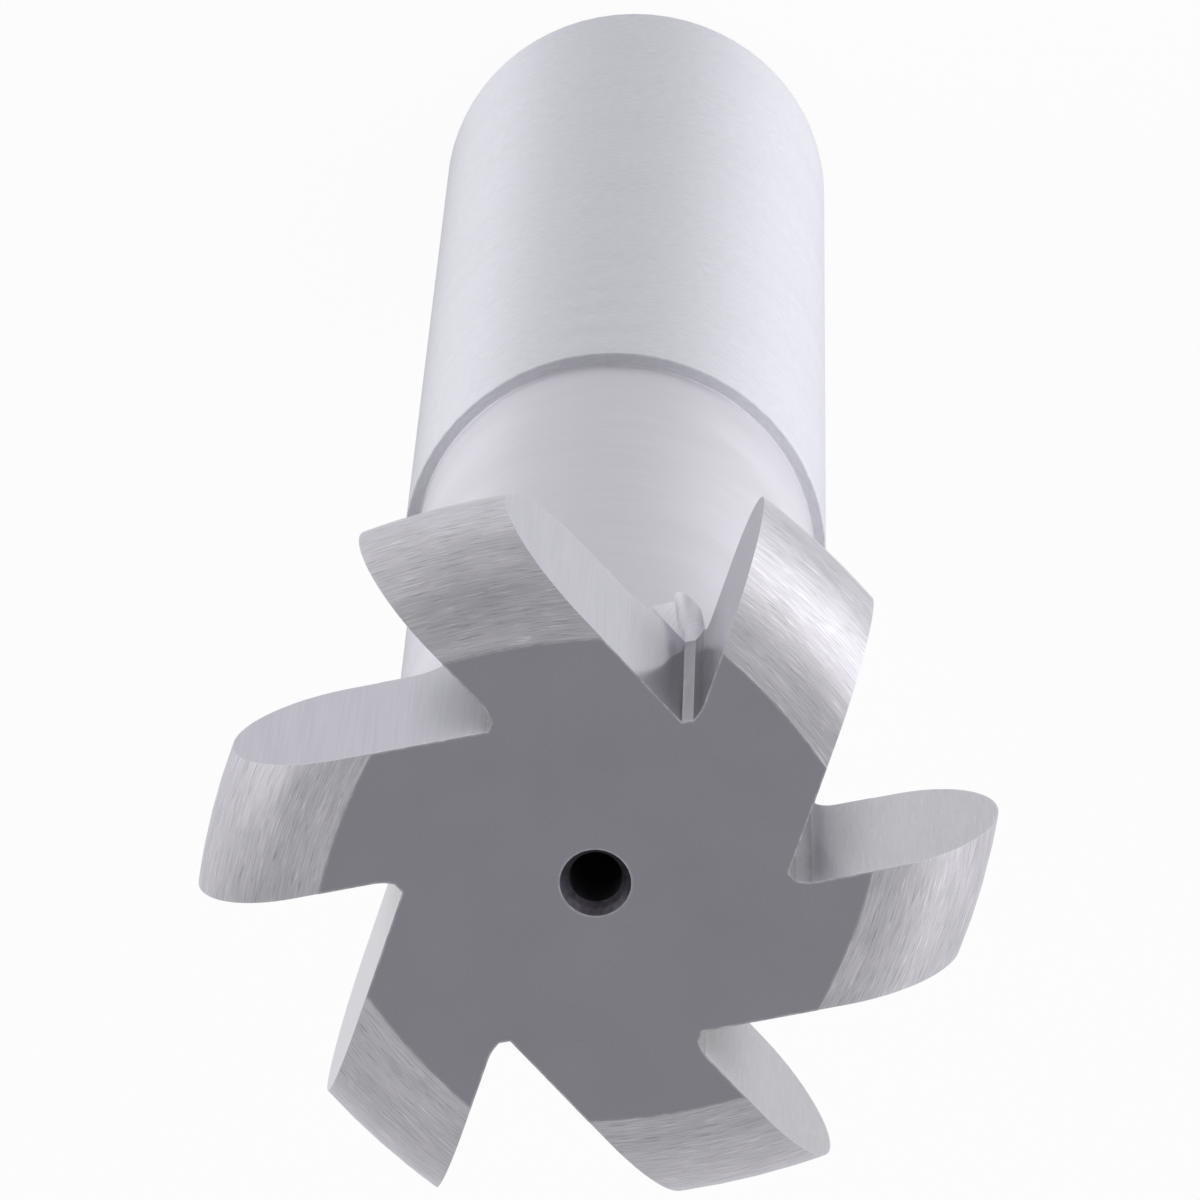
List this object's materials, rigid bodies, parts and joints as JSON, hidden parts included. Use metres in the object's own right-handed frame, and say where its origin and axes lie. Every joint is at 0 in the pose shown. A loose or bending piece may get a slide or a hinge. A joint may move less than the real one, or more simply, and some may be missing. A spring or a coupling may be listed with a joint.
{
  "type": "convex radius cutter",
  "caption": "Shank-type milling cutter whose form-relieved teeth carry a convex half-round profile, for cutting concave grooves.",
  "frame": {"origin": "centre of the flat end of the shank, on the tool's axis", "axes": "+Z along the tool's axis from the shank's end to the head's front face; +X through the outermost point of one cutting edge"},
  "size_m": [0.0334, 0.031, 0.0914],
  "materials": {
    "ground_steel": "ground high-speed steel: satin shank, turned neck, streaked relief on the teeth, matt front face"
  },
  "bodies": {
    "root": {"radius_cutter": "ground_steel"}
  },
  "joints": []
}
